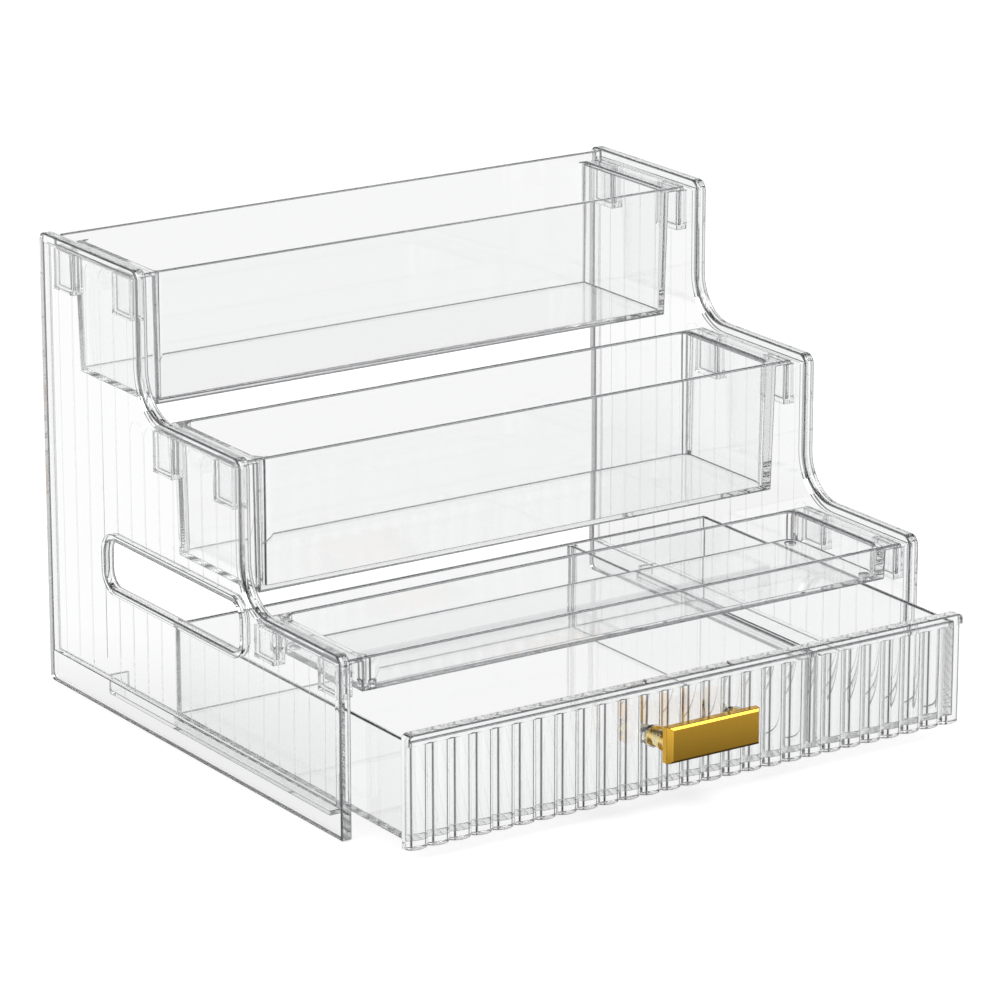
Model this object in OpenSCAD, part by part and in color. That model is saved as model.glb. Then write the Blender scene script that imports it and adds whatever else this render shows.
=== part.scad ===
// Clear three-tier vanity organizer: two stepped side panels, three hung trays and a drawer.
// X runs to the right, Y to the back and Z up. Each module below measures Y from the front edge
// of the side panels, and Z from the table; placed() then moves the origin to the middle of the base.

/* [Steps] */
// Overall width across both side panels
overall_w = 300; // [270:1:330]
// Depth of the lowest step
tread_1_d = 78; // [74:1:84]
// Depth of the middle step
tread_2_d = 84; // [80:1:90]
// Depth of the top step
tread_3_d = 86; // [82:1:92]
// Height of the lowest step above the table
rise_1_h = 80.5; // [76:0.5:86]
// Height from the lowest step up to the middle one
rise_2_h = 64.5; // [63:0.5:70]
// Height from the middle step up to the top one
rise_3_h = 63; // [62:0.5:70]
// Radius of the outer corner at the front of each step
nose_r = 5; // [3:0.5:8]
// Radius of the hollow corner at the foot of each riser
foot_r = 20; // [10:1:24]
// Radius of the two corners at the back of a side panel
back_r = 3.5; // [2:0.5:6]

/* [Side panels] */
// Thickness of a side panel at its rim
side_t = 5.2; // [4.6:0.1:6]
// Width of the rim that borders a side panel
rim_w = 4.4; // [3:0.2:6]
// Thickness of the web inside the rim
web_t = 2.4; // [2:0.1:3]
// Height of the rail along the foot of a side panel
rail_h = 15; // [13:0.5:18]
// Distance from the front of a side panel to the middle of its first flute
side_flute_start = 8.7; // [7:0.1:12]
// Distance between the flutes of a side panel
side_flute_pitch = 12.2; // [10:0.1:15]
// Width of the flat land between two of these flutes
side_flute_land = 0.8; // [0.6:0.1:2]
// Depth of these flutes
side_flute_depth = 0.2; // [0.15:0.05:0.5]

/* [Carrying cut-out] */
// Length of the cut-out in the left side panel
grip_l = 115; // [95:1:125]
// Height of the cut-out
grip_h = 22; // [18:0.5:24]
// Corner radius of the cut-out
grip_r = 7; // [4:0.5:8]
// Distance of the cut-out's middle from the front of the panel
grip_y = 138; // [132:1:144]
// Height of the cut-out's middle above the table
grip_z = 69.6; // [67:0.2:72]
// Width of the raised rim round the cut-out
grip_rim_w = 3; // [2:0.5:4]

/* [Drawer ledges] */
// Height of the ledges' upper face above the table
ledge_z = 9.4; // [8:0.2:11]
// Thickness of a ledge
ledge_t = 2.2; // [1.6:0.2:3]
// Reach of a ledge inward from its side panel
ledge_w = 7.4; // [6:0.2:9]
// Thickness of the end wall at the back of a ledge
ledge_end_t = 2; // [1.5:0.1:3]
// Height of that end wall above the ledge
ledge_end_h = 7; // [4:0.5:10]

/* [Trays] */
// Depth of every tray from front to back
tray_d = 68; // [64:0.5:72]
// Height of the upper and middle trays
deep_tray_h = 60; // [54:0.5:61]
// Height of the lower tray
low_tray_h = 15.5; // [14:0.5:17]
// Thickness of the tray walls
tray_wall = 2.2; // [1.6:0.1:3]
// Radius of the upright corners inside the lower and middle trays
wide_corner_r = 6.5; // [4:0.5:8]
// Radius of the upright corners inside the upper tray
tight_corner_r = 2.5; // [2:0.5:4]
// Thickness of the tray floors
tray_floor = 2.4; // [1.6:0.1:3]
// Inward lean of the deep trays' walls from rim to floor
deep_draft = 1.2; // [0:0.1:1.5]
// Inward lean of the lower tray's walls from rim to floor
low_draft = 0.4; // [0:0.1:0.8]
// Distance from a panel's rim to the tray wall beside it
tray_side_gap = 8.8; // [8:0.2:11]
// Setback of the two deep trays behind the front of their steps
deep_tray_setback = 9.5; // [7:0.5:11]
// Setback of the lower tray behind the front of its step
low_tray_setback = 5; // [3:0.5:7]
// Drop of every tray's rim below the top of its step
tray_drop = 4; // [3:0.5:5]
// Extra height of the upper tray's back wall
back_wall_rise = 4; // [2:0.5:6]
// Thickness of the flanges along a tray's ends
flange_t = 2; // [1.5:0.1:3]
// Diameter of the drain holes in the lower tray
drain_d = 4.4; // [3:0.2:6]
// Distance of each drain hole from the walls beside it
drain_inset = 5; // [4:0.5:8]

/* [Tongues and sockets] */
// Length of a socket along the panel
socket_l = 16; // [14:0.5:20]
// Depth of the sockets under the deep trays' flanges
deep_socket_h = 18.5; // [15:0.5:22]
// Depth of the sockets under the lower tray's flanges
low_socket_h = 14.5; // [12:0.5:15]
// Wall of a socket
socket_wall = 1.5; // [1.2:0.1:2]
// Distance from a tray's front and back to its sockets
socket_inset = 0.5; // [0:0.5:3]
// Thickness of a tongue
tongue_t = 2; // [1.6:0.1:2.4]
// Clearance between a tongue and its socket on every side
socket_gap = 0.3; // [0.2:0.05:0.4]
// Clearance between a tray flange and the panel rim
flange_gap = 0.5; // [0.3:0.1:1]

/* [Drawer] */
// Distance that the drawer is pulled out
drawer_pull = 41; // [20:1:80]
// Setback of the closed drawer's front behind the front of the side panels
front_setback = 6; // [2:0.5:10]
// Length of the drawer box behind its front panel
box_l = 183; // [170:1:200]
// Drop of the drawer box's walls below the top of its front panel
box_drop = 3.9; // [2:0.1:8]
// Thickness of the drawer box walls
box_wall = 2.2; // [1.6:0.1:3]
// Thickness of the drawer box floor
box_floor = 2.2; // [1.6:0.1:3]
// Clearance between the drawer box and the rail beside it
box_side_gap = 3.8; // [2.5:0.1:4.5]
// Clearance between the drawer box and the ledges under it
slide_gap = 0.1; // [0.05:0.05:0.3]
// Distance of the divider from the middle of the drawer, to the right
divider_x = 65; // [40:1:100]
// Thickness of the divider
divider_t = 1.8; // [1.4:0.1:2.4]
// Drop of the divider's top below the box walls
divider_drop = 0.8; // [0:0.1:2]
// Reach and thickness of the ribs that hold the divider's ends
guide_w = 1.4; // [1:0.1:2]
// Clearance between the divider and these ribs
guide_gap = 0.2; // [0.1:0.05:0.4]

/* [Drawer front] */
// Clearance between the front panel's top and the sockets and tray above it
front_top_gap = 3; // [2:0.5:6]
// Height of the front panel's lower edge above the table
front_z = 7; // [5:0.2:8]
// Thickness of the front panel behind its flutes
front_plate_t = 3.6; // [3:0.1:4]
// Rise of each flute in front of that plate
front_flute_rise = 2.4; // [1.8:0.1:2.6]
// Number of flutes across the front panel
front_flute_count = 27; // [20:1:32]
// Height of the plain band above the flutes
front_band_h = 4.8; // [3:0.2:8]
// Radius of the front panel's upper corners
front_corner_r = 2.4; // [1:0.2:4]
// Clearance between the front panel and the rims beside it
front_side_gap = 1.8; // [1:0.1:2.4]

/* [Handle] */
// Length of the handle bar
bar_l = 48; // [40:1:80]
// Height of the handle bar
bar_h = 16; // [12:0.5:20]
// Thickness of the handle bar
bar_t = 5; // [4.4:0.2:7]
// Width of the bevels at the ends of the bar's face
bar_end_bevel = 2; // [1:0.2:2.4]
// Width of the bevels along the top and foot of the bar's face
bar_long_bevel = 1.2; // [0.6:0.2:2]
// Distance between the two posts
post_spacing = 41; // [30:1:60]
// Finger gap between the front panel's flutes and the bar
finger_gap = 10; // [8:0.5:16]
// Diameter of a post's waist
post_waist_d = 6.4; // [6:0.2:7]
// Diameter of a post's base
post_base_d = 9; // [8:0.2:10]
// Depth of a post's seat in the front panel, behind the flutes
post_seat = 0.5; // [0.3:0.1:1]
// Diameter of the inner ring of a post
post_ring_d = 7.4; // [7:0.2:8]
// Diameter of the outer ring of a post, next to the bar
post_collar_d = 8.6; // [8:0.2:10]
// Length of each of these rings
post_ring_l = 2.2; // [1.5:0.1:2.6]
// Length of the neck between the outer ring and the bar
post_neck_l = 2.4; // [1.5:0.1:3]
// Width of the groove between the two rings
post_groove_l = 0.8; // [0.5:0.1:1.2]
// Height of the handle's middle above the front panel's lower edge
handle_rise = 26; // [20:0.5:30]
// Diameter of the handle screws
screw_d = 4; // [3:0.1:4]
// Diameter of the screw heads
screw_head_d = 7.6; // [6:0.2:9]
// Height of the screw heads
screw_head_h = 2.4; // [2:0.1:3]
// Depth that the screws reach into the bar
screw_bite = 3; // [2:0.2:3.4]
// Depth of the cross recess in a screw head
recess_depth = 1.2; // [0.8:0.1:1.6]
// Width of each slot of that recess
recess_w = 1; // [0.8:0.1:1.4]
// Radial clearance of the screws in what they pass through
screw_gap = 0.2; // [0.1:0.05:0.3]

/* [Hidden] */
$fn = 64;

// Overrun of every cut past the faces that it opens
cut = 1;
// Clearance that the closed drawer keeps from the ledges and from their end walls
close_gap = 0.3;
// Radial clearance of the screws in the bar's holes
thread_gap = 0.05;
// Room past the end of each screw in the bar
screw_end_gap = 0.5;

clear_colour = [0.88, 0.91, 0.93, 0.4];
gold_colour = [0.80, 0.58, 0.16];
steel_colour = [0.72, 0.73, 0.75];

side_d = tread_1_d + tread_2_d + tread_3_d;
step_y = [0, tread_1_d, tread_1_d + tread_2_d];
step_h = [rise_1_h, rise_1_h + rise_2_h, rise_1_h + rise_2_h + rise_3_h];
web_x = (side_t - web_t) / 2;

tray_w = overall_w - 2 * (side_t + tray_side_gap);
tray_h = [low_tray_h, deep_tray_h, deep_tray_h];
tray_draft = [low_draft, deep_draft, deep_draft];
tray_corner_r = [wide_corner_r, wide_corner_r, tight_corner_r];
tray_setback = [low_tray_setback, deep_tray_setback, deep_tray_setback];
socket_h = [low_socket_h, deep_socket_h, deep_socket_h];
flange_x = overall_w / 2 - side_t - flange_gap;
// Depths inward from a panel's outer face at which a socket's hollow starts and ends
socket_x0 = side_t + flange_gap - socket_gap;
socket_x1 = side_t + flange_gap + tongue_t + socket_gap;
tongue_l = socket_l - 2 * socket_wall - 2 * socket_gap;

front_t = front_plate_t + front_flute_rise;
front_w = overall_w - 2 * (side_t + front_side_gap);
front_top = rise_1_h - tray_drop - max(low_tray_h, flange_t + low_socket_h) - front_top_gap;
front_h = front_top - front_z;
box_w = overall_w - 2 * (side_t + box_side_gap);
box_z = ledge_z + slide_gap;
box_h = front_top - box_drop - box_z;
ledge_setback = front_setback + front_t + close_gap;
ledge_l = box_l + ledge_end_t;
handle_z = front_z + handle_rise;
// Y places of the handle in the drawer, from the crests of the front panel's flutes
bar_back_y = -finger_gap;
bar_face_y = bar_back_y - bar_t;
seat_y = front_flute_rise + post_seat;
post_l = finger_gap + seat_y;
screw_l = box_wall + front_t + finger_gap + screw_bite;

middle_y = (side_d + bar_face_y - drawer_pull) / 2;

module placed() {
    translate([0, -middle_y, 0]) children();
}

module in_drawer() {
    placed() translate([0, -drawer_pull, 0]) children();
}

// Stands a flat shape drawn in Y and Z on the YZ plane, from depth x to depth x + t
module upright(x, t) {
    translate([x - overall_w / 2, 0, 0]) rotate([90, 0, 90]) linear_extrude(t) children();
}

// Rectangle whose four corners each have their own radius, bottom left first and anticlockwise
module corner_rect(w, h, radii) {
    places = [[0, 0], [w, 0], [w, h], [0, h]];
    difference() {
        square([w, h]);
        for (i = [0:3])
            if (radii[i] > 0) {
                inward = [places[i][0] > 0 ? -radii[i] : radii[i], places[i][1] > 0 ? -radii[i] : radii[i]];
                difference() {
                    translate(places[i]) translate([min(inward[0], 0), min(inward[1], 0)])
                        square(radii[i]);
                    translate(places[i] + inward) circle(radii[i]);
                }
            }
    }
}

// Outline of a side panel, drawn in by inset all round
module side_outline(inset) {
    for (i = [0:2])
        translate([step_y[i] + inset, inset])
            corner_rect(side_d - step_y[i] - 2 * inset, step_h[i] - 2 * inset,
                [0, back_r - min(inset, back_r), i == 2 ? back_r - min(inset, back_r) : 0,
                 nose_r - min(inset, nose_r)]);
    for (i = [0:1])
        difference() {
            translate([step_y[i + 1] - foot_r, step_h[i] - inset])
                square([foot_r + inset, foot_r + inset]);
            translate([step_y[i + 1] - foot_r, step_h[i] + foot_r]) circle(foot_r + inset);
        }
}

module grip_outline(grow) {
    translate([grip_y - grip_l / 2 - grow, grip_z - grip_h / 2 - grow])
        corner_rect(grip_l + 2 * grow, grip_h + 2 * grow, [for (i = [0:3]) grip_r + grow]);
}

function step_at(y) = y < step_y[1] ? 0 : y < step_y[2] ? 1 : 2;

// Cutter for the shallow upright flutes, each with a flat face and a round upper end
module side_flutes() {
    flute_w = side_flute_pitch - side_flute_land;
    for (y = [side_flute_start : side_flute_pitch : side_d - rim_w - flute_w / 2]) {
        top = step_h[step_at(y - flute_w / 2 - rim_w)] - rim_w - side_flute_land - flute_w / 2;
        upright(web_x - cut, side_flute_depth + cut) {
            translate([y - flute_w / 2, 0]) square([flute_w, top]);
            translate([y, top]) circle(flute_w / 2);
        }
    }
}

// Runs its children once for each of a panel's six sockets, at the socket's front lower corner
module at_sockets(x) {
    for (i = [0:2])
        for (along = [socket_inset, tray_d - socket_inset - socket_l])
            translate([x - overall_w / 2, step_y[i] + tray_setback[i] + along,
                step_h[i] - tray_drop - flange_t - socket_h[i]]) {
                $socket_h = socket_h[i];
                children();
            }
}

// Side panel with its sockets and its ledge, with or without the carrying cut-out
module side_panel(with_grip) {
    difference() {
        union() {
            difference() {
                upright(web_x, web_t) side_outline(rim_w / 2);
                side_flutes();
            }
            upright(0, side_t) difference() {
                side_outline(0);
                side_outline(rim_w);
            }
            upright(0, side_t) intersection() {
                side_outline(0);
                union() {
                    square([side_d, rail_h]);
                    if (with_grip) grip_outline(grip_rim_w);
                }
            }
            ledge();
            at_sockets(side_t / 2) cube([socket_x1 + socket_wall - side_t / 2, socket_l, $socket_h]);
        }
        if (with_grip) upright(-cut, side_t + 2 * cut) grip_outline(0);
        at_sockets(socket_x0)
            translate([0, socket_wall, socket_wall])
                cube([socket_x1 - socket_x0, socket_l - 2 * socket_wall, $socket_h]);
    }
}

module ledge() {
    translate([side_t / 2 - overall_w / 2, ledge_setback, ledge_z - ledge_t])
        cube([side_t / 2 + ledge_w, ledge_l, ledge_t]);
    translate([side_t / 2 - overall_w / 2, ledge_setback + ledge_l - ledge_end_t, ledge_z - ledge_t])
        cube([side_t / 2 + ledge_w, ledge_end_t, ledge_t + ledge_end_h]);
}

module left_side_panel() {
    color(clear_colour) placed() side_panel(true);
}

module right_side_panel() {
    color(clear_colour) placed() mirror([1, 0, 0]) side_panel(false);
}

// Block that is w by d at height h and leans in by draft all round down to its foot, with
// rounded upright corners; lift carries its sides on upward at the same slope
module leaning_block(w, d, h, draft, corner_r, lift) {
    spread = draft * lift / h;
    top = h + lift;
    rotate([90, 0, 0]) translate([0, 0, corner_r - d]) linear_extrude(d - 2 * corner_r)
        polygon([[draft - w / 2, 0], [w / 2 - draft, 0], [w / 2 + spread, top], [-w / 2 - spread, top]]);
    rotate([90, 0, 90]) translate([0, 0, corner_r - w / 2]) linear_extrude(w - 2 * corner_r)
        polygon([[draft, 0], [d - draft, 0], [d + spread, top], [-spread, top]]);
    for (x = [corner_r - w / 2, w / 2 - corner_r], y = [corner_r, d - corner_r])
        translate([x, y, 0]) cylinder(h = top, r1 = corner_r - draft, r2 = corner_r + spread);
}

// Distance that the walls of tray i lean in over a height
function lean(i, height) = tray_draft[i] * height / tray_h[i];

// Bar across a tray and its flanges, from its outline seen from the side
module across_tray(outline) {
    rotate([90, 0, 90]) translate([0, 0, -flange_x]) linear_extrude(2 * flange_x) polygon(outline);
}

// Tray of step i, with its flanges and its four tongues
module tray(i) {
    h = tray_h[i];
    inner_h = h - tray_floor;
    translate([0, step_y[i] + tray_setback[i], step_h[i] - tray_drop - h]) {
        difference() {
            intersection() {
                across_tray([[lean(i, h), 0], [tray_d - lean(i, h), 0], [tray_d, h], [0, h]]);
                rotate([90, 0, 0]) translate([0, 0, -tray_d]) linear_extrude(tray_d)
                    for (side = [0, 1])
                        mirror([side, 0])
                            polygon([[0, 0], [tray_w / 2 - lean(i, h), 0],
                                [tray_w / 2 - lean(i, flange_t), h - flange_t],
                                [flange_x, h - flange_t], [flange_x, h], [0, h]]);
            }
            translate([0, tray_wall, tray_floor])
                leaning_block(tray_w - 2 * tray_wall, tray_d - 2 * tray_wall, inner_h,
                    lean(i, inner_h), tray_corner_r[i], cut);
        }
        tongue_h = socket_h[i] - socket_wall - socket_gap;
        for (side = [0, 1])
            mirror([side, 0, 0])
                for (along = [socket_inset, tray_d - socket_inset - socket_l])
                    translate([-flange_x, along + socket_wall + socket_gap, h - flange_t - tongue_h])
                        cube([tongue_t, tongue_l, tongue_h + flange_t / 2]);
    }
}

module upper_tray() {
    color(clear_colour) placed() {
        tray(2);
        root = flange_t / 2;
        translate([0, step_y[2] + tray_setback[2], step_h[2] - tray_drop])
            across_tray([[tray_d - tray_wall, -root], [tray_d - lean(2, root), -root], [tray_d, 0],
                [tray_d, back_wall_rise], [tray_d - tray_wall, back_wall_rise]]);
    }
}

module middle_tray() {
    color(clear_colour) placed() tray(1);
}

module lower_tray() {
    drain_x = tray_w / 2 - tray_wall - drain_inset;
    drain_y = tray_wall + drain_inset;
    color(clear_colour) placed() difference() {
        tray(0);
        translate([0, step_y[0] + tray_setback[0], step_h[0] - tray_drop - tray_h[0] - cut])
            for (x = [-drain_x, drain_x], y = [drain_y, tray_d - drain_y])
                translate([x, y, 0]) cylinder(h = tray_floor + 2 * cut, d = drain_d);
    }
}

// Runs its children at both handle screws, on their axis, with +Z of the children to the front
module at_screws(y) {
    for (side = [-1, 1])
        translate([side * post_spacing / 2, y, handle_z]) rotate([90, 0, 0]) children();
}

module drawer_box() {
    inner_w = box_w - 2 * box_wall;
    inner_l = box_l - 2 * box_wall;
    slot_half = divider_t / 2 + guide_gap;
    color(clear_colour) in_drawer() difference() {
        union() {
            translate([-box_w / 2, front_t, box_z]) difference() {
                cube([box_w, box_l, box_h]);
                translate([box_wall, box_wall, box_floor]) cube([inner_w, inner_l, box_h]);
            }
            for (y = [front_t + box_wall / 2, front_t + box_l - box_wall - guide_w],
                 x = [divider_x - slot_half - guide_w, divider_x + slot_half])
                translate([x, y, box_z + box_floor / 2])
                    cube([guide_w, guide_w + box_wall / 2, box_h - box_floor / 2 - divider_drop]);
        }
        at_screws(front_t + box_wall + cut) cylinder(h = box_wall + 2 * cut, d = screw_d + 2 * screw_gap);
    }
}

module drawer_divider() {
    color(clear_colour) in_drawer()
        translate([divider_x - divider_t / 2, front_t + box_wall + guide_gap, box_z + box_floor])
            cube([divider_t, box_l - 2 * box_wall - 2 * guide_gap, box_h - box_floor - divider_drop]);
}

// Flat section of the front panel: a plate with round flutes along its front
module fluted_section() {
    half_chord = front_w / front_flute_count / 2;
    flute_r = (half_chord * half_chord + front_flute_rise * front_flute_rise) / 2 / front_flute_rise;
    translate([-front_w / 2, front_t - front_plate_t / 2]) square([front_w, front_plate_t / 2]);
    intersection() {
        translate([-front_w / 2, 0]) square([front_w, front_t]);
        for (i = [0:front_flute_count - 1])
            translate([(2 * i + 1) * half_chord - front_w / 2, flute_r]) circle(flute_r);
    }
}

module drawer_front() {
    color(clear_colour) in_drawer() difference() {
        intersection() {
            union() {
                translate([0, 0, front_z]) linear_extrude(front_h - front_band_h) fluted_section();
                translate([-front_w / 2, 0, front_z + front_h - front_band_h])
                    cube([front_w, front_t, front_band_h]);
            }
            translate([-front_w / 2, front_t + cut, front_z]) rotate([90, 0, 0])
                linear_extrude(front_t + 2 * cut)
                    corner_rect(front_w, front_h, [0, 0, front_corner_r, front_corner_r]);
        }
        at_screws(front_t + cut) cylinder(h = front_t + 2 * cut, d = screw_d + 2 * screw_gap);
        at_screws(seat_y) cylinder(h = seat_y + cut, d = post_base_d + 2 * screw_gap);
    }
}

// Section of the handle bar, w wide, with a bevel along both edges of its face
module bevelled_profile(w, bevel) {
    bevel_y = bar_face_y + bevel;
    polygon([[-w / 2, bar_back_y], [w / 2, bar_back_y], [w / 2, bevel_y],
             [w / 2 - bevel, bar_face_y], [bevel - w / 2, bar_face_y], [-w / 2, bevel_y]]);
}

module handle_bar() {
    color(gold_colour) in_drawer() difference() {
        translate([0, 0, handle_z]) intersection() {
            translate([0, 0, -bar_h / 2]) linear_extrude(bar_h) bevelled_profile(bar_l, bar_end_bevel);
            rotate([0, 90, 0]) translate([0, 0, -bar_l / 2]) linear_extrude(bar_l)
                bevelled_profile(bar_h, bar_long_bevel);
        }
        at_screws(bar_back_y + cut)
            cylinder(h = cut + screw_bite + screw_end_gap, d = screw_d + 2 * thread_gap);
    }
}

module handle_post(side) {
    collar_z = post_l - post_neck_l - post_ring_l;
    color(gold_colour) in_drawer()
        translate([side * post_spacing / 2, seat_y, handle_z]) rotate([90, 0, 0])
            difference() {
                union() {
                    cylinder(h = post_l, d = post_waist_d);
                    cylinder(h = seat_y, d = post_base_d);
                    translate([0, 0, collar_z - post_groove_l - post_ring_l])
                        cylinder(h = post_ring_l, d = post_ring_d);
                    translate([0, 0, collar_z]) cylinder(h = post_ring_l, d = post_collar_d);
                }
                translate([0, 0, -cut]) cylinder(h = post_l + 2 * cut, d = screw_d + 2 * screw_gap);
            }
}

module handle_post_left() {
    handle_post(-1);
}

module handle_post_right() {
    handle_post(1);
}

module handle_screws() {
    color(steel_colour) in_drawer() at_screws(front_t + box_wall) {
        cylinder(h = screw_l, d = screw_d);
        translate([0, 0, -screw_head_h]) difference() {
            cylinder(h = screw_head_h, d = screw_head_d);
            for (turn = [0, 90])
                rotate([0, 0, turn]) translate([-screw_d / 2, -recess_w / 2, -cut])
                    cube([screw_d, recess_w, recess_depth + cut]);
        }
    }
}

left_side_panel();
right_side_panel();
upper_tray();
middle_tray();
lower_tray();
drawer_box();
drawer_front();
drawer_divider();
handle_bar();
handle_post_left();
handle_post_right();
handle_screws();
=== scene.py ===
import math

import bmesh
import bpy
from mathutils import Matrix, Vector


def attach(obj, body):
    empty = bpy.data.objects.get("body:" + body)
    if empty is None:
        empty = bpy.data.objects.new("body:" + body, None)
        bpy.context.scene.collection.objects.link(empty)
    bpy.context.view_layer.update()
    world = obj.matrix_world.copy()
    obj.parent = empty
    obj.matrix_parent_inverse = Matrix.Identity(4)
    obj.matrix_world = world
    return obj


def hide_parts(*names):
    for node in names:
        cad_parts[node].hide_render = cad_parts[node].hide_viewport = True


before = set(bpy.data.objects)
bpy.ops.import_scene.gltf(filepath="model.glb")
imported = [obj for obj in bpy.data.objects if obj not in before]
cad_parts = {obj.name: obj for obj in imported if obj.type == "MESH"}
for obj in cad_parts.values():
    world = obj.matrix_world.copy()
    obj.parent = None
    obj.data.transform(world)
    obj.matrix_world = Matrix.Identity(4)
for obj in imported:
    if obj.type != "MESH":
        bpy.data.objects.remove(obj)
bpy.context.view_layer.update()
mm = 0.001
print("stage: frame loaded")


# small helpers for materials, the floor and the room

def newMaterial(name):
    mat = bpy.data.materials.new(name)
    mat.use_nodes = True
    return mat, mat.node_tree.nodes, mat.node_tree.links.new


def makeRange(nodes, source, target, smooth=False):
    node = nodes.new("ShaderNodeMapRange")
    if smooth:
        node.interpolation_type = "SMOOTHSTEP"
    for label, value in zip(("From Min", "From Max", "To Min", "To Max"), source + target):
        node.inputs[label].default_value = value
    return node


def makeMath(nodes, link, operation, *values):
    # each value is another node's output or a plain number
    node = nodes.new("ShaderNodeMath")
    node.operation = operation
    for socket, value in zip(node.inputs, values):
        if isinstance(value, float):
            socket.default_value = value
        else:
            link(value, socket)
    return node.outputs["Value"]


def mixByRay(nodes, link, ray, usual, special):
    # rays of one kind meet the special shader, all others the usual one
    path = nodes.new("ShaderNodeLightPath")
    mix = nodes.new("ShaderNodeMixShader")
    link(path.outputs[ray], mix.inputs["Fac"])
    link(usual, mix.inputs[1])
    link(special, mix.inputs[2])
    return mix.outputs["Shader"]


rippleLook = dict(scale=20.0, detail=2.0, fineScale=400.0, fineDetail=3.0)


def makeRippleGroup(look):
    # faint waviness of a moulded or plated surface: height for a bump, mask for roughness
    group = bpy.data.node_groups.new("surfaceRipple", "ShaderNodeTree")
    number = "NodeSocketFloat"
    for label, value in (("Scale", look["scale"]), ("Fine Scale", look["fineScale"])):
        socket = group.interface.new_socket(name=label, in_out="INPUT", socket_type=number)
        socket.default_value = value
    for label in ("Height", "Mask"):
        group.interface.new_socket(name=label, in_out="OUTPUT", socket_type=number)
    start, end = group.nodes.new("NodeGroupInput"), group.nodes.new("NodeGroupOutput")
    link = group.links.new
    coord = group.nodes.new("ShaderNodeTexCoord")
    for scale, detail, result in (("Scale", look["detail"], "Height"),
                                  ("Fine Scale", look["fineDetail"], "Mask")):
        noise = group.nodes.new("ShaderNodeTexNoise")
        noise.inputs["Detail"].default_value = detail
        link(coord.outputs["Object"], noise.inputs["Vector"])
        link(start.outputs[scale], noise.inputs["Scale"])
        link(noise.outputs["Fac"], end.inputs[result])
    return group


rippleGroup = makeRippleGroup(rippleLook)


def addRipple(nodes, link, body, look):
    # gives a shader its roughness and bump, and hands back the ripple's mask
    ripple = nodes.new("ShaderNodeGroup")
    ripple.node_tree = rippleGroup
    ripple.inputs["Scale"].default_value = look["scale"]
    ripple.inputs["Fine Scale"].default_value = look["fineScale"]
    rough = makeRange(nodes, look["maskRange"], look["rough"])
    link(ripple.outputs["Mask"], rough.inputs["Value"])
    link(rough.outputs["Result"], body.inputs["Roughness"])
    bump = nodes.new("ShaderNodeBump")
    bump.inputs["Strength"].default_value = look["bump"]
    bump.inputs["Distance"].default_value = look["bumpHeight"] * mm
    link(ripple.outputs["Height"], bump.inputs["Height"])
    link(bump.outputs["Normal"], body.inputs["Normal"])
    return ripple.outputs["Mask"]


clearLook = dict(
    tint=(0.994, 0.996, 0.997, 1.0),
    paintedEdgeShade=(0.2, 0.21, 0.22, 1.0),       # painted shade: the rounded edges are tinted grey, so they look greyer and each edge shows as a dark line
    ior=1.49,
    rough=(0.0, 0.03),
    maskRange=(0.35, 0.75),
    scale=18.0,
    fineScale=400.0,
    bump=0.02,
    bumpHeight=1.0,
    absorb=0.8,                            # per metre, so long ways through it turn grey
    absorbTint=(0.02, 0.05, 0.06, 1.0),
    shadowTint=(0.985, 0.985, 0.985, 1.0),
)


def makeClearPlastic(name, look, tint):
    mat, nodes, link = newMaterial(name)
    nodes.clear()
    out = nodes.new("ShaderNodeOutputMaterial")
    body = nodes.new("ShaderNodeBsdfPrincipled")
    body.inputs["Base Color"].default_value = tint
    body.inputs["IOR"].default_value = look["ior"]
    body.inputs["Transmission Weight"].default_value = 1.0
    addRipple(nodes, link, body, look)
    # rays to the lamps pass straight through, so the plastic throws only a pale shadow
    passing = nodes.new("ShaderNodeBsdfTransparent")
    passing.inputs["Color"].default_value = look["shadowTint"]
    surface = mixByRay(nodes, link, "Is Shadow Ray", body.outputs["BSDF"], passing.outputs["BSDF"])
    link(surface, out.inputs["Surface"])
    absorb = nodes.new("ShaderNodeVolumeAbsorption")
    absorb.inputs["Color"].default_value = look["absorbTint"]
    absorb.inputs["Density"].default_value = look["absorb"]
    link(absorb.outputs["Volume"], out.inputs["Volume"])
    return mat


goldLook = dict(colour=(0.84, 0.49, 0.065, 1.0), shade=(0.76, 0.43, 0.05, 1.0), rough=(0.12, 0.22),
                maskRange=(0.3, 0.7), scale=90.0, fineScale=900.0, bump=0.05, bumpHeight=0.2)
# the posts get a paler copy of the gold: painted light, standing in for the bright room they
# reflect
postPaintedLightLook = dict(goldLook, colour=(0.95, 0.82, 0.5, 1.0), shade=(0.9, 0.75, 0.42, 1.0),
                rough=(0.2, 0.3))
zincLook = dict(colour=(0.62, 0.63, 0.66, 1.0), shade=(0.48, 0.49, 0.52, 1.0), rough=(0.25, 0.4),
                maskRange=(0.3, 0.7), scale=300.0, fineScale=1500.0, bump=0.08, bumpHeight=0.2)


def makeMetal(name, look):
    mat, nodes, link = newMaterial(name)
    body = nodes["Principled BSDF"]
    body.inputs["Metallic"].default_value = 1.0
    mask = addRipple(nodes, link, body, look)
    mix = nodes.new("ShaderNodeMix")
    mix.data_type = "RGBA"
    mix.inputs["A"].default_value = look["colour"]
    mix.inputs["B"].default_value = look["shade"]
    link(mask, mix.inputs["Factor"])
    link(mix.outputs["Result"], body.inputs["Base Color"])
    return mat


clearPlastic = makeClearPlastic("clearPlastic", clearLook, clearLook["tint"])
# the plastic for the rounded edges, tinted grey: painted shade along every edge
clearEdgePaintedShade = makeClearPlastic("clearEdgePaintedShade", clearLook, clearLook["paintedEdgeShade"])
goldPlate = makeMetal("goldPlate", goldLook)
# painted light: the posts' gold is a paler copy of the bar's
goldPostPaintedLight = makeMetal("goldPostPaintedLight", postPaintedLightLook)
zincPlate = makeMetal("zincPlate", zincLook)
print("stage: materials made")


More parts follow.
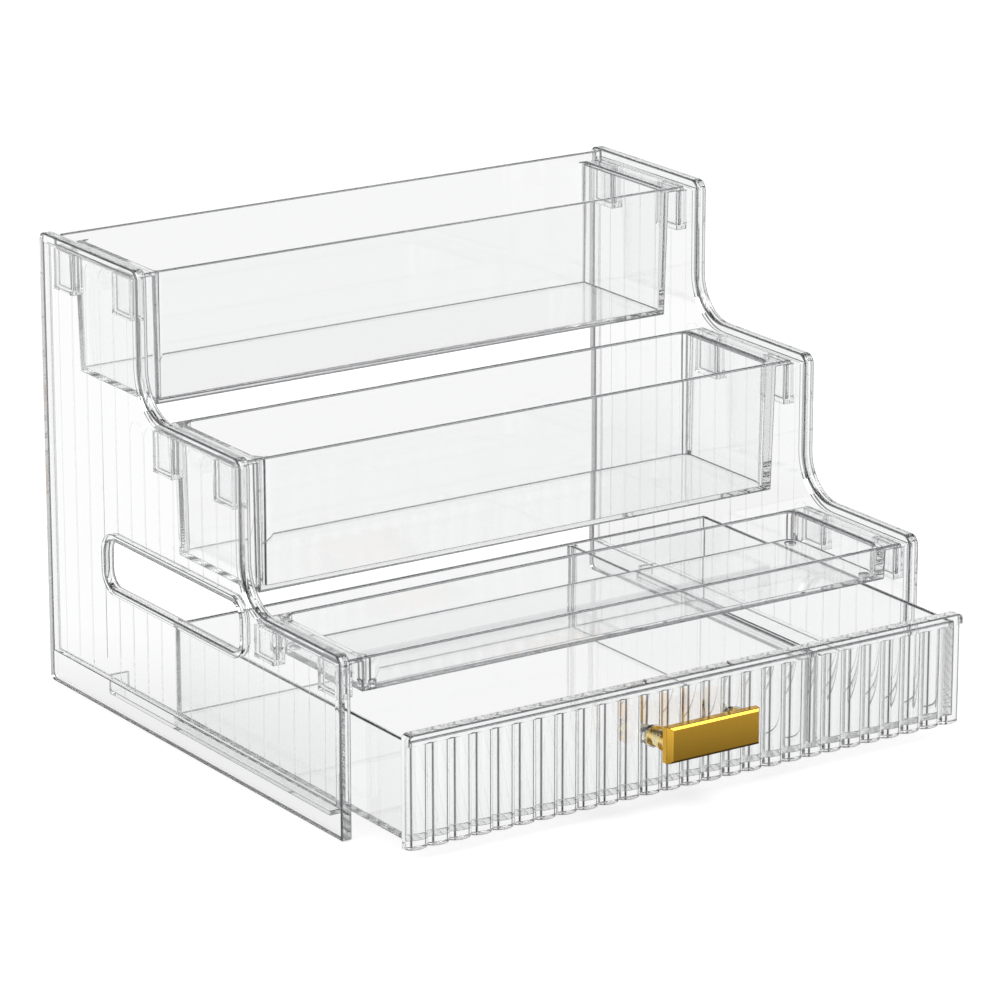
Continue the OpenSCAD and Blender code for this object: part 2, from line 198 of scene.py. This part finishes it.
# every piece keeps its solid's shape, with the edges rounded
weld = 0.01            # mm between vertices that become one
hair = 0.03            # mm that a plastic face steps back from its solid
flatAngle = 0.5        # degrees between faces that become one
sharpAngle = 30        # an edge that may be rounded
shadeAngle = 32        # an edge that stays crisp in the shading
squareAngle = 60       # nearly a right angle or more
along, across = 0.9, 0.1    # parts of a unit normal that points along an axis, or across it


def mergedCopy(node, back=hair):
    bm = bmesh.new()
    bm.from_mesh(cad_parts[node].data)
    bmesh.ops.remove_doubles(bm, verts=bm.verts, dist=weld * mm)
    bmesh.ops.dissolve_limit(bm, angle_limit=math.radians(flatAngle), use_dissolve_boundaries=False,
                             verts=bm.verts, edges=bm.edges, delimit=set())
    bm.normal_update()
    # touching solids step back a hair from each other, so that light meets each wall in turn
    for v in bm.verts:
        v.co -= v.normal * v.calc_shell_factor() * back * mm
    return bm


def isSharp(edge, least=sharpAngle):
    return len(edge.link_faces) == 2 and edge.calc_face_angle() > math.radians(least)


def softWidths(bm, widthOf):
    # how far each sharp edge is rounded, as weights for the bevel that finishPiece adds
    weight = bm.edges.layers.float.new("bevel_weight_edge")
    widths = {e: widthOf(e) for e in bm.edges if isSharp(e)}
    widest = max(widths.values())
    for e, width in widths.items():
        e[weight] = width / widest
    return widest


def finishPiece(bm, name, material, node, body, widest, segments=4):
    bm.normal_update()
    for f in bm.faces:
        f.smooth = True
    for e in bm.edges:
        e.smooth = not isSharp(e, shadeAngle)
    mesh = bpy.data.meshes.new(name)
    bm.to_mesh(mesh)
    bm.free()
    piece = bpy.data.objects.new(name, mesh)
    bpy.context.scene.collection.objects.link(piece)
    piece.data.materials.append(material)
    soft = piece.modifiers.new("softEdges", "BEVEL")
    # plastic pieces take the grey-tinted plastic on their rounded edges, a painted shade that draws
    # each edge as a dark line
    if material == clearPlastic:
        piece.data.materials.append(clearEdgePaintedShade)
        soft.material = 1
    soft.limit_method = "WEIGHT"
    soft.width = widest * mm
    soft.segments = segments
    soft.profile = 0.5
    soft.use_clamp_overlap = False
    soft.loop_slide = False
    weighted = piece.modifiers.new("flatFacesFirst", "WEIGHTED_NORMAL")
    weighted.mode = "FACE_AREA"
    weighted.weight = 100
    weighted.keep_sharp = True
    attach(piece, body)
    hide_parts(node)
    return piece


sidePanel = dict(
    treads=(78.0, 84.0, 86.0),             # depths of the three steps, from the front
    rises=(80.5, 145.0, 208.0),            # their heights above the table
    footRadius=20.0,                       # where a step's top meets the next front
    grip=((80.5, 58.6), (195.5, 80.6)),    # carrying cut-out, in the left panel only
    frontY=-96.0,
    outerX=150.0,
    rimWidth=5.2,
    webX=148.6,
    rimReach=0.05,                         # how near an edge lies to count as on the rim's faces
    webReach=0.7,                          # and as on the thin web
    probe=2.5,                             # how far beyond an edge the outline is looked up
    outerSoft=0.7,
    innerSoft=0.3,
)


def solidAt(y, z, panel):
    # true where the panel's outline has material; y from its front edge, both in millimetres
    (y0, z0), (y1, z1) = panel["grip"]
    if z < 0 or y < 0 or y > sum(panel["treads"]) or (y0 < y < y1 and z0 < z < z1):
        return False
    start = 0.0
    r = panel["footRadius"]
    for tread, rise in zip(panel["treads"], panel["rises"]):
        start += tread
        if y >= start:
            continue
        if z < rise:
            return True
        inFoot = start - r < y and z < rise + r and rise < panel["rises"][-1]
        return inFoot and math.hypot(y - (start - r), z - (rise + r)) > r
    return False


def onOutline(edge, panel):
    # an edge between a broad face and a face that looks out of the panel's outline
    flat = [f for f in edge.link_faces if abs(f.normal.x) > along]
    side = [f for f in edge.link_faces if abs(f.normal.x) < across]
    if not flat or not side:
        return False
    middle = (edge.verts[0].co + edge.verts[1].co) / 2 / mm
    probe = middle + panel["probe"] * side[0].normal
    return not solidAt(probe.y - panel["frontY"], probe.z, panel)


def makeSidePanel(node, name, panel):
    bm = mergedCopy(node)
    rimX = (panel["outerX"], panel["outerX"] - panel["rimWidth"])

    def widthOf(edge):
        xs = [abs(v.co.x) / mm for v in edge.verts]
        atRim = any(all(abs(x - r) < panel["rimReach"] for x in xs) for r in rimX)
        if atRim and onOutline(edge, panel):
            return panel["outerSoft"]
        atWeb = all(abs(x - panel["webX"]) < panel["webReach"] for x in xs)
        rounded = edge.is_convex and not atWeb and isSharp(edge, squareAngle)
        return panel["innerSoft"] if rounded else 0.0

    widest = softWidths(bm, widthOf)
    return finishPiece(bm, name, clearPlastic, node, "stand", widest)


makeSidePanel("left_side_panel", "leftSidePanel", sidePanel)
makeSidePanel("right_side_panel", "rightSidePanel", sidePanel)
print("stage: side panels made")


# how a tray or box tells its edges apart, in mm and square mm
boxEdges = dict(
    rimDepth=5,            # curved edges no lower than this belong to the rim
    rimLength=30,          # so do straight edges of a top face from this length on
    cornerArea=500,        # upright edges between faces this large are outer corners
    underLength=200,       # long edges of the underside
    insideLength=20,       # hollow edges that are rounded: long, and between broad faces
    insideArea=100,
    curved=0.01,           # part of a unit normal from which a face isn't square to the axes
)


def makeBox(node, name, body, soft):
    bm = mergedCopy(node)
    limits = boxEdges
    rimZ = max(v.co.z for v in bm.verts) - limits["rimDepth"] * mm

    def widthOf(edge):
        # the curves at the corners of a hollow are rounded like the straight edges beside them
        faces, length = edge.link_faces, edge.calc_length()
        top = any(f.normal.z > along for f in faces)
        slant = max(min(abs(f.normal.x), abs(f.normal.y)) for f in faces)
        curved = top and slant > limits["curved"]
        narrowest = min(f.calc_area() for f in faces) / mm / mm
        if not edge.is_convex:
            broad = length > limits["insideLength"] * mm and narrowest > limits["insideArea"]
            return soft["inside"] if isSharp(edge, squareAngle) and (curved or broad) else 0.0
        if narrowest > limits["cornerArea"] and all(abs(f.normal.z) < across for f in faces):
            return soft["corner"]
        if any(f.normal.z < -along for f in faces) and length > limits["underLength"] * mm:
            return soft["under"]
        atRim = curved and min(v.co.z for v in edge.verts) > rimZ
        alongRim = top and length > limits["rimLength"] * mm
        return soft["rim"] if atRim or alongRim else soft["other"]

    widest = softWidths(bm, widthOf)
    return finishPiece(bm, name, clearPlastic, node, body, widest)


traySoft = dict(rim=0.8, corner=0.8, under=1.2, other=0.5, inside=0.4)
upperTraySoft = dict(traySoft, rim=0.6)    # its raised back wall leaves less room

makeBox("upper_tray", "upperTray", "stand", upperTraySoft)
makeBox("middle_tray", "middleTray", "stand", traySoft)
makeBox("lower_tray", "lowerTray", "stand", traySoft)
print("stage: trays made")


drawerSoft = dict(rim=0.72, corner=0.8, under=0.35, other=0.35, inside=0.5)
dividerSoft = dict(rim=0.6, corner=0.3, under=0.3, other=0.3, inside=0.3)

makeBox("drawer_box", "drawerBox", "drawer", drawerSoft)
makeBox("drawer_divider", "drawerDivider", "drawer", dividerSoft)


# the band along the top of the front starts at bandZ, and the flutes end there
frontPanel = dict(bandZ=52.2, bandReach=0.1, bandSoft=0.6, fluteSoft=0.3)


def makeDrawerFront(panel):
    bm = mergedCopy("drawer_front")

    def widthOf(edge):
        above = [v.co.z / mm - panel["bandZ"] for v in edge.verts]
        atFlutesEnd = all(abs(z) < panel["bandReach"] for z in above)
        if not edge.is_convex or not isSharp(edge, squareAngle) or atFlutesEnd:
            return 0.0
        return panel["bandSoft"] if min(above) > 0 else panel["fluteSoft"]

    widest = softWidths(bm, widthOf)
    return finishPiece(bm, "drawerFront", clearPlastic, "drawer_front", "drawer",
                       widest)


makeDrawerFront(frontPanel)
print("stage: drawer made")


handleSoft = dict(bar=0.25, post=0.15, screw=0.15, segments=3)


def makeMetalPiece(node, name, material, width):
    bm = mergedCopy(node, back=0.0)
    widest = softWidths(bm, lambda e: width if e.is_convex else 0.0)
    return finishPiece(bm, name, material, node, "drawer", widest, handleSoft["segments"])


makeMetalPiece("handle_bar", "handleBar", goldPlate, handleSoft["bar"])
makeMetalPiece("handle_post_left", "handlePostLeft", goldPostPaintedLight, handleSoft["post"])
makeMetalPiece("handle_post_right", "handlePostRight", goldPostPaintedLight, handleSoft["post"])
makeMetalPiece("handle_screws", "handleScrews", zincPlate, handleSoft["screw"])
print("stage: handle made")


floorLook = dict(
    size=12.0,
    drop=0.5,                      # mm below the object
    colour=(0.8, 0.8, 0.8, 1.0),
    glow=0.64,                     # added to the lit paper, so that open floor comes out white
    paintedShadowGlow=0.05,                # painted shadow: what metal sees of the floor under the object
    paintedShadowSize=(0.155, 0.3),
    cardGlow=(1.3, 0.62),          # painted light: what metal sees of the floor, to its left and to its right
    cardEdge=(-0.07, 0.03),
)


def makeFloor(look):
    bm = bmesh.new()
    bmesh.ops.create_grid(bm, x_segments=1, y_segments=1, size=look["size"] / 2)
    bmesh.ops.translate(bm, vec=Vector((0, 0, -look["drop"] * mm)), verts=bm.verts)
    mesh = bpy.data.meshes.new("floor")
    bm.to_mesh(mesh)
    bm.free()
    floor = bpy.data.objects.new("floor", mesh)
    bpy.context.scene.collection.objects.link(floor)
    mat, nodes, link = newMaterial("paperFloor")
    nodes.clear()
    out = nodes.new("ShaderNodeOutputMaterial")
    paper = nodes.new("ShaderNodeBsdfDiffuse")
    paper.inputs["Color"].default_value = look["colour"]
    glow = nodes.new("ShaderNodeEmission")
    glow.inputs["Strength"].default_value = look["glow"]
    white = nodes.new("ShaderNodeAddShader")
    link(paper.outputs["BSDF"], white.inputs[0])
    link(glow.outputs["Emission"], white.inputs[1])
    # polished faces see painted light on the floor, a pale glow on one side and a dimmer one on the
    # other, and a painted shadow underneath
    coord = nodes.new("ShaderNodeTexCoord")
    split = nodes.new("ShaderNodeSeparateXYZ")
    link(coord.outputs["Object"], split.inputs["Vector"])
    card = makeRange(nodes, look["cardEdge"], look["cardGlow"], smooth=True)
    link(split.outputs["X"], card.inputs["Value"])
    distance = nodes.new("ShaderNodeVectorMath")
    distance.operation = "LENGTH"
    link(coord.outputs["Object"], distance.inputs[0])
    # painted shadow: the glow that metal sees fades to dark under the object
    under = makeRange(nodes, look["paintedShadowSize"], (look["paintedShadowGlow"], 1.0), smooth=True)
    link(distance.outputs["Value"], under.inputs["Value"])
    cards = nodes.new("ShaderNodeEmission")
    strength = makeMath(nodes, link, "MULTIPLY", card.outputs["Result"], under.outputs["Result"])
    link(strength, cards.inputs["Strength"])
    surface = mixByRay(nodes, link, "Is Glossy Ray", white.outputs["Shader"],
                       cards.outputs["Emission"])
    link(surface, out.inputs["Surface"])
    floor.data.materials.append(mat)
    floor.visible_transmission = False     # through the plastic the room itself is seen


roomLook = dict(
    brightness=0.97,               # low down, where rays go straight through the plastic
    # sine of the height above or below the horizon, and how bright the room is there
    levels=((-0.97, 1.0), (-0.93, 0.03), (-0.8, 0.03), (-0.76, 1.0),
            (0.1, 1.0), (0.2, 0.9), (0.39, 0.9), (0.43, 0.02)),
    # dark upright strips round the room, clear of the usual points of view: middle and half
    # width in degrees, and how dark each one is
    strips=((13, 6, 1.0), (34, 2, 0.98), (79, 2, 0.98), (103, 5, 0.98), (124, 7, 0.2),
            (214, 2, 0.98), (301, 7, 0.5)),
    stripSoft=1.5,                 # degrees over which a strip's side fades
    stripEnd=(0.38, 0.46),         # sine of the height over which the strips fade out
    fill=0.5,                      # even light on anything matt
)


def makeRoomLevels(nodes, look):
    ramp = nodes.new("ShaderNodeValToRGB")
    stops = ramp.color_ramp.elements
    for z, level in look["levels"]:
        stops.new(0.5 + z / 2).color = (level, level, level, 1.0)
    stops.remove(stops[-1])
    stops.remove(stops[0])
    return ramp


def makeStripRamp(nodes, look):
    ramp = nodes.new("ShaderNodeValToRGB")
    stops = ramp.color_ramp.elements
    for middle, half, dark in look["strips"]:
        outer = half + look["stripSoft"]
        for offset, level in ((-outer, 0.0), (-half, dark), (half, dark), (outer, 0.0)):
            stops.new((middle + offset) / 360).color = (level, level, level, 1.0)
    for end in (0, -1):
        stops[end].color = (0.0, 0.0, 0.0, 1.0)
    return ramp


def makeWorld(look):
    world = bpy.data.worlds.new("studio")
    bpy.context.scene.world = world
    world.use_nodes = True
    nodes, link = world.node_tree.nodes, world.node_tree.links.new
    nodes.clear()
    out = nodes.new("ShaderNodeOutputWorld")
    coord = nodes.new("ShaderNodeTexCoord")
    split = nodes.new("ShaderNodeSeparateXYZ")
    link(coord.outputs["Generated"], split.inputs["Vector"])
    height = makeRange(nodes, (-1.0, 1.0), (0.0, 1.0))
    link(split.outputs["Z"], height.inputs["Value"])
    levels = makeRoomLevels(nodes, look)
    link(height.outputs["Result"], levels.inputs["Fac"])

    turn = makeMath(nodes, link, "ARCTAN2", split.outputs["Y"], split.outputs["X"])
    turns = makeMath(nodes, link, "DIVIDE", turn, 2 * math.pi)
    strips = makeStripRamp(nodes, look)
    link(makeMath(nodes, link, "FRACT", turns), strips.inputs["Fac"])
    steep = makeRange(nodes, look["stripEnd"], (1.0, 0.0), smooth=True)
    link(makeMath(nodes, link, "ABSOLUTE", split.outputs["Z"]), steep.inputs["Value"])
    shade = makeMath(nodes, link, "MULTIPLY", strips.outputs["Color"], steep.outputs["Result"])
    strength = makeRange(nodes, (0.0, 1.0), (look["brightness"], 0.0))
    link(shade, strength.inputs["Value"])

    room, fill, white = (nodes.new("ShaderNodeBackground") for _ in range(3))
    link(levels.outputs["Color"], room.inputs["Color"])
    link(strength.outputs["Result"], room.inputs["Strength"])
    fill.inputs["Strength"].default_value = look["fill"]
    white.inputs["Strength"].default_value = 1.0
    lit = mixByRay(nodes, link, "Is Diffuse Ray", room.outputs["Background"],
                   fill.outputs["Background"])
    seen = mixByRay(nodes, link, "Is Camera Ray", lit, white.outputs["Background"])
    link(seen, out.inputs["Surface"])


lamps = dict(
    rightLight=dict(place=(0.85, -0.61, 1.3), size=(0.9, 0.9), power=9.0),
    leftLight=dict(place=(-1.1, -0.4, 1.25), size=(0.7, 0.9), power=6.0),
)
lampAim = (0, 0, 0.05)


def makeLight(name, look):
    lamp = bpy.data.lights.new(name, "AREA")
    lamp.shape = "RECTANGLE"
    lamp.size, lamp.size_y = look["size"]
    lamp.energy = look["power"]
    light = bpy.data.objects.new(name, lamp)
    bpy.context.scene.collection.objects.link(light)
    light.location = look["place"]
    toObject = Vector(lampAim) - Vector(look["place"])
    light.rotation_euler = toObject.to_track_quat("-Z", "Y").to_euler()
    light.visible_camera = False


cameraView = dict(azimuth=-33.66, elevation=17.16, distance=2.27706, lens=187.14, sensor=36.0,
                  clipStart=0.05, target=(-4.75 * mm, 4.0 * mm, 97.43 * mm))


def makeCamera(view):
    camera = bpy.data.objects.new("camera", bpy.data.cameras.new("camera"))
    bpy.context.scene.collection.objects.link(camera)
    a, e = math.radians(view["azimuth"]), math.radians(view["elevation"])
    away = Vector((math.sin(a) * math.cos(e), -math.cos(a) * math.cos(e), math.sin(e)))
    camera.location = Vector(view["target"]) + view["distance"] * away
    camera.rotation_euler = (-away).to_track_quat("-Z", "Y").to_euler()
    camera.data.lens = view["lens"]
    camera.data.sensor_width = view["sensor"]
    camera.data.sensor_fit = "HORIZONTAL"
    camera.data.clip_start = view["clipStart"]
    bpy.context.scene.camera = camera


makeFloor(floorLook)
makeWorld(roomLook)
for lampName, lampLook in lamps.items():
    makeLight(lampName, lampLook)
makeCamera(cameraView)

scene = bpy.context.scene
scene.view_settings.view_transform = "Standard"
# many thin walls lie behind each other, so rays go on through all of them
bounces = 64
scene.cycles.max_bounces = bounces
scene.cycles.transmission_bounces = bounces
scene.cycles.glossy_bounces = bounces
scene.cycles.transparent_max_bounces = bounces
scene.cycles.caustics_refractive = False
scene.cycles.caustics_reflective = False
print("stage: light and camera set")
